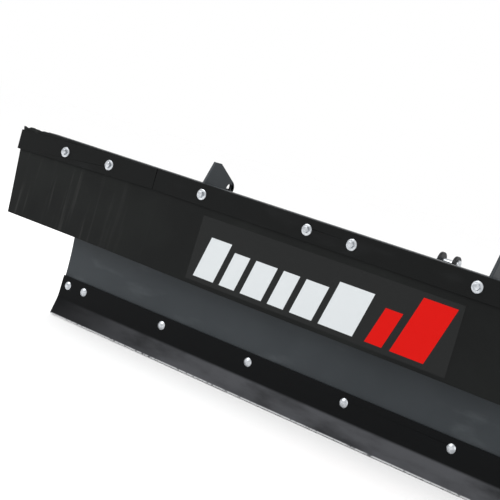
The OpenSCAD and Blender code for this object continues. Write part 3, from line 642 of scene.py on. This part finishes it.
# Bars stand on one line, each given by its left corner's x, its width and its top.
BAR_FOOT = 234
FILM_LIFT, BAR_LIFT = 0.1, 0.4
FILM_CORNERS = [(-352, 222), (364, 222), (360, 378), (-352, 378)]
WHITE_BARS = [(-332, 62, 334), (-252, 46, 318), (-188, 62, 318), (-108, 46, 318), (-44, 62, 318),
              (36, 92, 338)]
RED_BARS = [(160, 44, 318), (224, 84, 366)]
make("dark_film", [decal(FILM_CORNERS, FILM_LIFT, steps=(90, 20))], FILM, "blade")
make("white_bars", [decal(slanted(x, width, BAR_FOOT, top), BAR_LIFT, steps=(8, 12))
                    for x, width, top in WHITE_BARS], WHITE, "blade")
make("red_bars", [decal(slanted(x, width, BAR_FOOT, top, 0.3), BAR_LIFT, steps=(8, 12))
                  for x, width, top in RED_BARS], RED, "blade")

eased_copy("clamp_strip_middle", ["strip_middle"], STRIP, 0.9)
for side in SIDES:
    eased_copy(f"clamp_strip_{side}", [f"strip_{side}"], STRIP, 0.9)


# ---------------------------------------------------------------- fasteners


def dome(radius, height, centre, axis):
    """A carriage bolt's head: a cap of a sphere over a short upright rim, its radius r and rise h on
    one circle."""
    ball = (radius ** 2 + (height - 0.8) ** 2) / (2 * (height - 0.8))
    angle = np.linspace(math.asin(radius / ball), 0, 12)
    cap = [(ball * math.sin(a), 0.8 + (height - 0.8) - ball * (1 - math.cos(a))) for a in angle]
    return turned([(0, 0), (radius - 0.3, 0), (radius, 0.3), *cap], centre, axis)


def flanged_nut(seat, axis):
    """A serrated-flange nut for a 3/8 inch bolt: a sloping flange, then a hexagon."""
    axis = np.asarray(axis, float)
    flange = [(0, 0), (10.0, 0), (10.3, 0.6), (9.9, 1.3), (8.3, 2.2), (0, 2.2)]
    return [turned(flange, seat, axis), hexagon(8.2, 8.2, np.asarray(seat) + 1.8 * axis, axis)]


FRONT = np.array((0, -1.0, 0))
REAR = -FRONT
SHEET_BACK = MOLD_Y + SHEET
RAIL_BACK = LIP_BACK + 4
EDGE_FRONT = MOLD_Y - 6.3
# A 3/8 inch shank, how far it stands out behind, and how deep it starts inside its head
SHANK_R = 4.75
TAIL = 14.0
SINK = 0.1
make("carriage_bolts", [part for x in EDGE_BOLTS for part in (
    dome(10.75, 5, (x, EDGE_FRONT, EDGE_BOLT_Z), FRONT),
    threads(SHANK_R, SHEET_BACK + TAIL - EDGE_FRONT + SINK, (x, EDGE_FRONT - SINK, EDGE_BOLT_Z), REAR))],
    ZINC, "blade", ["edge_bolts"])
make("carriage_nuts", [part for x in EDGE_BOLTS for part in flanged_nut((x, SHEET_BACK, EDGE_BOLT_Z), REAR)],
     ZINC, "blade", ["edge_nuts"])
CLAMP_FLANGE = [(0, 0), (13.2, 0), (13.5, 0.5), (13.1, 1.3), (9.6, 2.5), (0, 2.5)]
CLAMP_HEAD = 8.7
make("clamp_hex_bolts", [part for x, z in CLAMP_SPOTS for part in (
    turned(CLAMP_FLANGE, (x, STRIP_FRONT, z), FRONT),
    hexagon(8.4, 6.6, (x, STRIP_FRONT - CLAMP_HEAD + 6.6, z), FRONT),
    turned([(5.2, 0), (5.8, 0.3), (5.2, 0.3), (5.2, 0)], (x, STRIP_FRONT - CLAMP_HEAD, z), FRONT),
    threads(SHANK_R, RAIL_BACK + TAIL - STRIP_FRONT, (x, STRIP_FRONT - SINK, z), REAR))],
    ZINC, "blade", ["clamp_bolts"])
make("clamp_flange_nuts", [part for x, z in CLAMP_SPOTS for part in flanged_nut((x, RAIL_BACK, z), REAR)],
     ZINC, "blade", ["clamp_nuts"])

# The shoes' legs stand 89 mm behind the sheet, 8 mm from the bolts' heads, and the washers 8.6 mm
# behind them.
SHOE_LEG_Y = MOLD_Y + 89
SHOE_HEAD_Y, WASHER_Y = SHOE_LEG_Y - 8, SHOE_LEG_Y + 8.6
SHOE_BOLT_Z = (104, 144)
WASHER = [(0, 0), (12.8, 0), (13, 0.3), (13, 1.7), (12.8, 2), (0, 2)]
shoe_bolts, shoe_nuts = [], []
for side in SIDES:
    x = middle(f"skid_shoe_{side}")[0]
    for z in SHOE_BOLT_Z:
        shoe_bolts += [hexagon(9, 7, (x, SHOE_HEAD_Y, z), FRONT),
                       threads(5, 32, (x, SHOE_HEAD_Y - SINK, z), REAR)]
        shoe_nuts += [turned(WASHER, (x, WASHER_Y, z), REAR),
                      hexagon(9, 8.2, (x, WASHER_Y + 1.8, z), REAR, (True, True))]
make("shoe_hex_bolts", shoe_bolts, ZINC, "blade", ["shoe_bolts"])
make("shoe_washers_and_nuts", shoe_nuts, ZINC, "blade", ["shoe_nuts"])
for side in SIDES:
    eased_copy(f"skid_runner_{side}", [f"skid_shoe_{side}"], SHOE, 1.2, 3)


# ---------------------------------------------------------------- swivel

beam_y, beam_z = middle("swivel_beam")[1:]
beam_size = (BEAM_HIGH[1] - BEAM_LOW[1], BEAM_HIGH[2] - BEAM_LOW[2])
make("swivel_beam_tube", [square_tube((BEAM_LOW[0], beam_y, beam_z), (BEAM_HIGH[0], beam_y, beam_z),
                                      (0, 0, 1), beam_size, TUBE_WALL, 5)],
     BLACK, "swivel", ["swivel_beam"], eased=0.4)
for side in SIDES:
    eased_copy(f"tube_end_cap_{side}", [f"beam_cap_{side}"], PLASTIC, 1.3, 3)
    eased_copy(f"hinge_boss_block_{side}", [f"hinge_boss_{side}"], BLACK, 1.0)
    eased_copy(f"anchor_plate_{side}", [f"spring_anchor_{side}"], BLACK, 1.0)
eased_copy("angle_sector_plate", ["sector_plate"], BLACK, 1.0)
eased_copy("king_hub_ring", ["king_hub"], BLACK, 0.8)
HINGE_Y, HINGE_Z = middle("hinge_pins")[1:]
HINGE_X = 200
# Half a boss, the gap beside it, an ear and the gap to the bolt's head
HEAD_REACH = 15.6 + 0.4 + EAR_T + 0.4
HINGE_HEX = 13.8
pin_parts, pin_nuts = [], []
for s in SIDES.values():
    out = np.array((s, 0, 0))
    head = np.array((s * (HINGE_X + HEAD_REACH), HINGE_Y, HINGE_Z))
    pin_parts += [hexagon(HINGE_HEX, 10, head, out),
                  threads(8, 2 * HEAD_REACH + TAIL, head + SINK * out, -out, 2)]
    nut_seat = (s * (HINGE_X - HEAD_REACH), HINGE_Y, HINGE_Z)
    pin_nuts.append(hexagon(HINGE_HEX, 10, nut_seat, -out, (True, True)))
make("trip_hinge_pins", pin_parts, ZINC, "swivel", ["hinge_pins"])
make("trip_hinge_nuts", pin_nuts, ZINC, "swivel", ["hinge_nuts"])
bumper_low, bumper_high = span("stop_bumpers")
h = bumper_high[1] - bumper_low[1]
BUMPER_X, BUMPER_Z = 110, 96
BUMPER_PROFILE = [(0, 0), (11, 0), (13.2, 0.8), (14, 2.6), (14, h - 3), (13, h - 0.6), (12, h), (0, h)]
make("rubber_stops", [turned(BUMPER_PROFILE, (s * BUMPER_X, bumper_high[1], BUMPER_Z), FRONT)
                      for s in SIDES.values()], BUMPER, "swivel", ["stop_bumpers"])
KING_Y = middle("king_pin")[1]
BOSS_SIDE = 16.2
SECTOR_T = 10
BEAM_TOP = BEAM_HIGH[2] + SET_OFF
swivel_beads = []
for side, s in SIDES.items():
    for x in (FINS[side] - PLATE_SIDE, FINS[side] + PLATE_SIDE):
        swivel_beads.append(bead((x, BEAM_LOW[1] + 8, BEAM_TOP), (x, BEAM_HIGH[1] - 2, BEAM_TOP)))
    for x in (s * HINGE_X - BOSS_SIDE, s * HINGE_X + BOSS_SIDE):
        swivel_beads.append(bead((x, BEAM_LOW[1] - SET_OFF, 63), (x, BEAM_LOW[1] - SET_OFF, 80)))
    swivel_beads.append(bead((s * 89.4, BEAM_LOW[1] + 3, BEAM_HIGH[2] + PROUD),
                             (s * 79.8, BEAM_HIGH[1] - 3, BEAM_HIGH[2] + PROUD)))
sector_weld = np.array((70, BEAM_HIGH[1] + SET_OFF, BEAM_HIGH[2] - SET_OFF))
swivel_beads.append(bead(sector_weld * (-1, 1, 1), sector_weld))
for z in (BEAM_HIGH[2] - SET_OFF, BEAM_TOP + SECTOR_T):
    swivel_beads.append(ring_bead((0, KING_Y, z), (0, 0, 1), 30.4))
make("swivel_weld_beads", swivel_beads, BLACK, "swivel")


# ---------------------------------------------------------------- trip springs

# Where each spring is held, as (y, z); its loops hang 2 mm inside both eyes
ANCHOR = np.array((BEAM_LOW[1] + 38, 140.0))
FIN_EYE = np.array((LIP_BACK + 102, 452.0))
SPRING_TILT = math.atan2(ANCHOR[0] - FIN_EYE[0], FIN_EYE[1] - ANCHOR[1])
SPRING_RUN = float(np.hypot(*(FIN_EYE - ANCHOR))) - 4
LOOP_R, COIL_R, WIRE_R, TURNS = 14.0, 15.0, 3.0, 41 + 5 / 6
COIL_START = 2 * LOOP_R + 5
HELIX_BEGIN = math.radians(30)


def in_spring(points, x):
    """Points of a spring's own frame, whose Z runs from its lower eye to its upper one, in blade
    millimetres."""
    c, s = math.cos(SPRING_TILT), math.sin(SPRING_TILT)
    px, py, pz = np.asarray(points, float).T
    return np.stack((x + px, ANCHOR[0] + c * py - s * pz, ANCHOR[1] + s * py + c * pz), axis=-1)


def hook_end():
    """An end loop and its lead into the coil: most of a circle in the X-Z plane, then a smooth cubic to
    the helix.

    The cubic keeps each end's direction: p = h00 p0 + h10 m0 + h01 p1 + h11 m1."""
    turn = np.radians(np.linspace(-160, 100, 40))
    loop = np.stack((LOOP_R * np.sin(turn), 0 * turn, LOOP_R * (1 - np.cos(turn))), axis=-1)
    p0, m0 = loop[-1], 26 * np.array((math.cos(turn[-1]), 0, math.sin(turn[-1])))
    p1 = np.array((COIL_R * math.cos(HELIX_BEGIN), COIL_R * math.sin(HELIX_BEGIN), COIL_START))
    m1 = 22 * np.array((-math.sin(HELIX_BEGIN), math.cos(HELIX_BEGIN), 0.06))
    t = np.linspace(0, 1, 12)[1:-1, None]
    lead = ((2 * t ** 3 - 3 * t ** 2 + 1) * p0 + (t ** 3 - 2 * t ** 2 + t) * m0
            + (3 * t ** 2 - 2 * t ** 3) * p1 + (t ** 3 - t ** 2) * m1)
    turning = np.stack((0 * t[:, 0], 1 - t[:, 0], t[:, 0]), axis=-1)
    references = np.concatenate((np.tile((0, 1.0, 0), (len(loop), 1)), turning))
    return np.concatenate((loop, lead)), references


def extension_spring(x):
    """A close-wound extension spring: a loop, a helix x = r cos a, y = r sin a, z rising evenly, and
    the loop turned over."""
    low, low_reference = hook_end()
    angle = HELIX_BEGIN + np.linspace(0, TURNS * 2 * math.pi, int(TURNS * 20))
    rise = np.linspace(COIL_START, SPRING_RUN - COIL_START, len(angle))
    coil = np.stack((COIL_R * np.cos(angle), COIL_R * np.sin(angle), rise), axis=-1)
    high = (low * (1, -1, -1) + (0, 0, SPRING_RUN))[::-1]
    path = np.concatenate((low, coil, high))
    reference = np.concatenate((low_reference, np.tile((0, 0, 1.0), (len(coil), 1)),
                                (low_reference * (1, -1, 1))[::-1]))
    points, faces = wire(path, WIRE_R, reference, 10)
    return in_spring(points, x), faces


for side in SIDES:
    spring = make(f"trip_spring_{side}", [extension_spring(FINS[side])], SPRING, None,
                  [f"spring_{side}", f"spring_hook_{side}"], sharp=60)
    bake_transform(spring)


# ---------------------------------------------------------------- push frame

eased_copy("pivot_plate_upper", ["plate_top"], BLACK, 1.0)
eased_copy("pivot_plate_lower", ["plate_bottom"], BLACK, 1.0)
REAR_LOW, REAR_HIGH = span("cross_tube_rear")
rear_y, rear_z = middle("cross_tube_rear")[1:]
PLATES_END, PLATE_TOP = span("plate_top")[1][1:]
RAIL_Y, RAIL_Z = KING_Y + 165, BEAM_HIGH[2] + SECTOR_T / 2
RAIL_FRONT_X, RAIL_REAR_X = 52, 190
RAIL_SIZE, RAIL_CORNER = (38, 38), 4.5
run, half_seat = REAR_LOW[1] - RAIL_Y, (PLATES_END - RAIL_Y) / 2
RAIL_YAW = math.atan2(RAIL_REAR_X - RAIL_FRONT_X, run)
RAIL_PITCH = math.atan2(RAIL_Z - rear_z, run - half_seat)
RAIL_START = np.array((RAIL_FRONT_X, RAIL_Y, RAIL_Z + math.tan(RAIL_PITCH) * half_seat))
rail_way = np.array((math.sin(RAIL_YAW) * math.cos(RAIL_PITCH), math.cos(RAIL_YAW) * math.cos(RAIL_PITCH),
                     -math.sin(RAIL_PITCH)))
rail_up = np.array((math.sin(RAIL_YAW) * math.sin(RAIL_PITCH), math.cos(RAIL_YAW) * math.sin(RAIL_PITCH),
                    math.cos(RAIL_PITCH)))
rail_end = RAIL_START + run / rail_way[1] * rail_way
for side, s in SIDES.items():
    flip = np.array((s, 1, 1))
    rail = square_tube(RAIL_START * flip, rail_end * flip, rail_up * flip, RAIL_SIZE, TUBE_WALL,
                       RAIL_CORNER, (RAIL_Y, REAR_LOW[1]))
    make(f"side_rail_tube_{side}", [rail], BLACK, "push_frame", [f"side_rail_{side}"],
         eased=0.4)
    eased_copy(f"clevis_lugs_{side}", [f"clevis_{side}"], BLACK, 1.2)
    eased_copy(f"lift_mast_bar_{side}", [f"mast_{side}"], BLACK, 1.2)
make("rear_cross_tube", [square_tube((REAR_LOW[0], rear_y, rear_z), (REAR_HIGH[0], rear_y, rear_z),
                                     (0, 0, 1), RAIL_SIZE, TUBE_WALL, RAIL_CORNER)],
     BLACK, "push_frame", ["cross_tube_rear"], eased=0.4)
eased_copy("mast_cross_tube", ["cross_tube_mast"], BLACK, 1.5, 3)
eased_copy("lock_guide_tube", ["lock_guide"], BLACK, 1.0)
MAST_LOW, MAST_HIGH = span("mast_left")
LIFT_Y, LIFT_Z = middle("mast_left")[1], MAST_HIGH[2] - 22
half_pin = [(8, 26), (13, 26), (13, 31), (8, 31), (8, 31.2), (7.2, 32), (0, 32)]
pin_profile = [(radius, -along) for radius, along in half_pin[::-1]] + half_pin
make("winch_lift_pin", [turned(pin_profile, (0, LIFT_Y, LIFT_Z), (1, 0, 0))],
     ZINC, "push_frame", ["lift_pin"], eased=0.3)
UPWARD = np.array((0, 0, 1.0))
KING_LOW, KING_HIGH = span("king_pin")
KING_NUT = span("king_nut")[0][2]
KING_HEX, KING_HEAD, KING_SHANK_TOP = 22.4, 15, KING_HIGH[2] - 14.9
king_shank = threads(12.7, KING_SHANK_TOP - KING_LOW[2], (0, KING_Y, KING_SHANK_TOP), -UPWARD, 2.5)
king_head = hexagon(KING_HEX, KING_HEAD, (0, KING_Y, KING_HIGH[2] - KING_HEAD), UPWARD)
make("king_pin_bolt", [king_head, king_shank],
     ZINC, "push_frame", ["king_pin"])
make("king_pin_nut", [hexagon(KING_HEX, KING_HEAD, (0, KING_Y, KING_NUT), UPWARD, (True, True))],
     ZINC, "push_frame", ["king_nut"])
PIN_LOW, PIN_HIGH = span("lock_pin")
LOCK_Y = middle("lock_pin")[1]
HANDLE_Z = PIN_HIGH[2] - 8
pin_length = PIN_HIGH[2] - PIN_LOW[2]
stem_profile = [(0, 0), (5.5, 0), (8, 3.5), (8, pin_length - 1), (7, pin_length), (0, pin_length)]
handle_profile = [(0, 0), (4.6, 0), (6, 1.4), (6, 88.6), (4.6, 90), (0, 90)]
make("angle_lock_handle", [turned(stem_profile, (0, LOCK_Y, PIN_LOW[2]), UPWARD),
                           turned(handle_profile, (PIN_LOW[0], LOCK_Y, HANDLE_Z), (1, 0, 0))],
     ZINC, "angle_lock", ["lock_pin"])
frame_beads = [ring_bead((0, LOCK_Y, PLATE_TOP + SET_OFF), UPWARD, 15.4)]
mast_foot = MAST_LOW[2] + SET_OFF
for side, s in SIDES.items():
    for x in (s * RAIL_REAR_X - 19.8, s * RAIL_REAR_X + 19.8):
        frame_beads.append(bead((x, REAR_LOW[1] - SET_OFF, REAR_LOW[2] + 3),
                                (x, REAR_LOW[1] - SET_OFF, REAR_HIGH[2] - 4)))
    for lug_face in (-25.6, -14.4, 14.4, 25.6):
        x = s * 200 + lug_face
        frame_beads.append(bead((x, REAR_HIGH[1] + SET_OFF, REAR_LOW[2] + 4),
                                (x, REAR_HIGH[1] + SET_OFF, REAR_HIGH[2] - 4)))
    for x in (s * 17.4, s * 26.6):
        frame_beads.append(bead((x, MAST_LOW[1] + 2, mast_foot), (x, MAST_HIGH[1] - 2, mast_foot)))
make("frame_weld_beads", frame_beads, BLACK, "push_frame")


# ---------------------------------------------------------------- floor, light and camera

FLOOR_HALF = 60.0
# Each lamp's place in metres, its side in metres and its watts
LAMPS = {"key": ((-2.6, -3.4, 3.6), 3.0, 110), "fill": ((3.6, -2.4, 1.8), 2.4, 30),
         "rim": ((0.5, 3.6, 3.2), 3.0, 90)}
BLADE_MIDDLE = Vector((0, -0.4, 0.25))
# The camera's place in blade millimetres; its turn to the left, down and about its own line, in degrees
CAMERA_AT = (1394.5, -2363.3, 558.5)
CAMERA_TURN = (34.206, 4.487, 16.698)
LENS = 88.16


def matrix_of(right, up, back, at):
    """A placing whose X, Y and Z axes are right, up and back."""
    return Matrix((*[(right[i], up[i], back[i], at[i]) for i in range(3)], (0, 0, 0, 1)))


def studio():
    """A pale floor, an even white surround and three large soft lights, and the camera."""
    mesh = bpy.data.meshes.new("floor")
    corners = [(x * FLOOR_HALF, y * FLOOR_HALF, -0.001) for x, y in ((-1, -1), (1, -1), (1, 1), (-1, 1))]
    mesh.from_pydata(corners, [], [(0, 1, 2, 3)])
    floor = bpy.data.objects.new("floor", mesh)
    bpy.context.scene.collection.objects.link(floor)
    floor.data.materials.append(PAPER)
    world = bpy.data.worlds.new("even_white")
    world.use_nodes = True
    world.node_tree.nodes["Background"].inputs["Color"].default_value = (1, 1, 1, 1)
    world.node_tree.nodes["Background"].inputs["Strength"].default_value = 1.0
    bpy.context.scene.world = world
    for name, (at, size, watts) in LAMPS.items():
        light = bpy.data.lights.new(name, "AREA")
        light.size, light.energy = size, watts
        lamp = bpy.data.objects.new(name, light)
        lamp.location = at
        lamp.rotation_euler = (BLADE_MIDDLE - Vector(at)).to_track_quat("-Z", "Y").to_euler()
        bpy.context.scene.collection.objects.link(lamp)
    camera = bpy.data.objects.new("camera", bpy.data.cameras.new("camera"))
    bpy.context.scene.collection.objects.link(camera)
    camera.data.sensor_width, camera.data.lens = 36, LENS
    camera.data.clip_start, camera.data.clip_end = 0.05, 200
    yaw, pitch, roll = (math.radians(angle) for angle in CAMERA_TURN)
    ahead = Vector((-math.sin(yaw) * math.cos(pitch), math.cos(yaw) * math.cos(pitch), -math.sin(pitch)))
    level = ahead.cross(Vector((0, 0, 1))).normalized()
    top = level.cross(ahead)
    right = math.cos(roll) * level + math.sin(roll) * top
    up = math.cos(roll) * top - math.sin(roll) * level
    camera.matrix_world = matrix_of(right, up, -ahead, row(CAMERA_AT))
    bpy.context.scene.camera = camera


studio()
bpy.context.scene.view_settings.view_transform = "Standard"
bpy.context.view_layer.update()
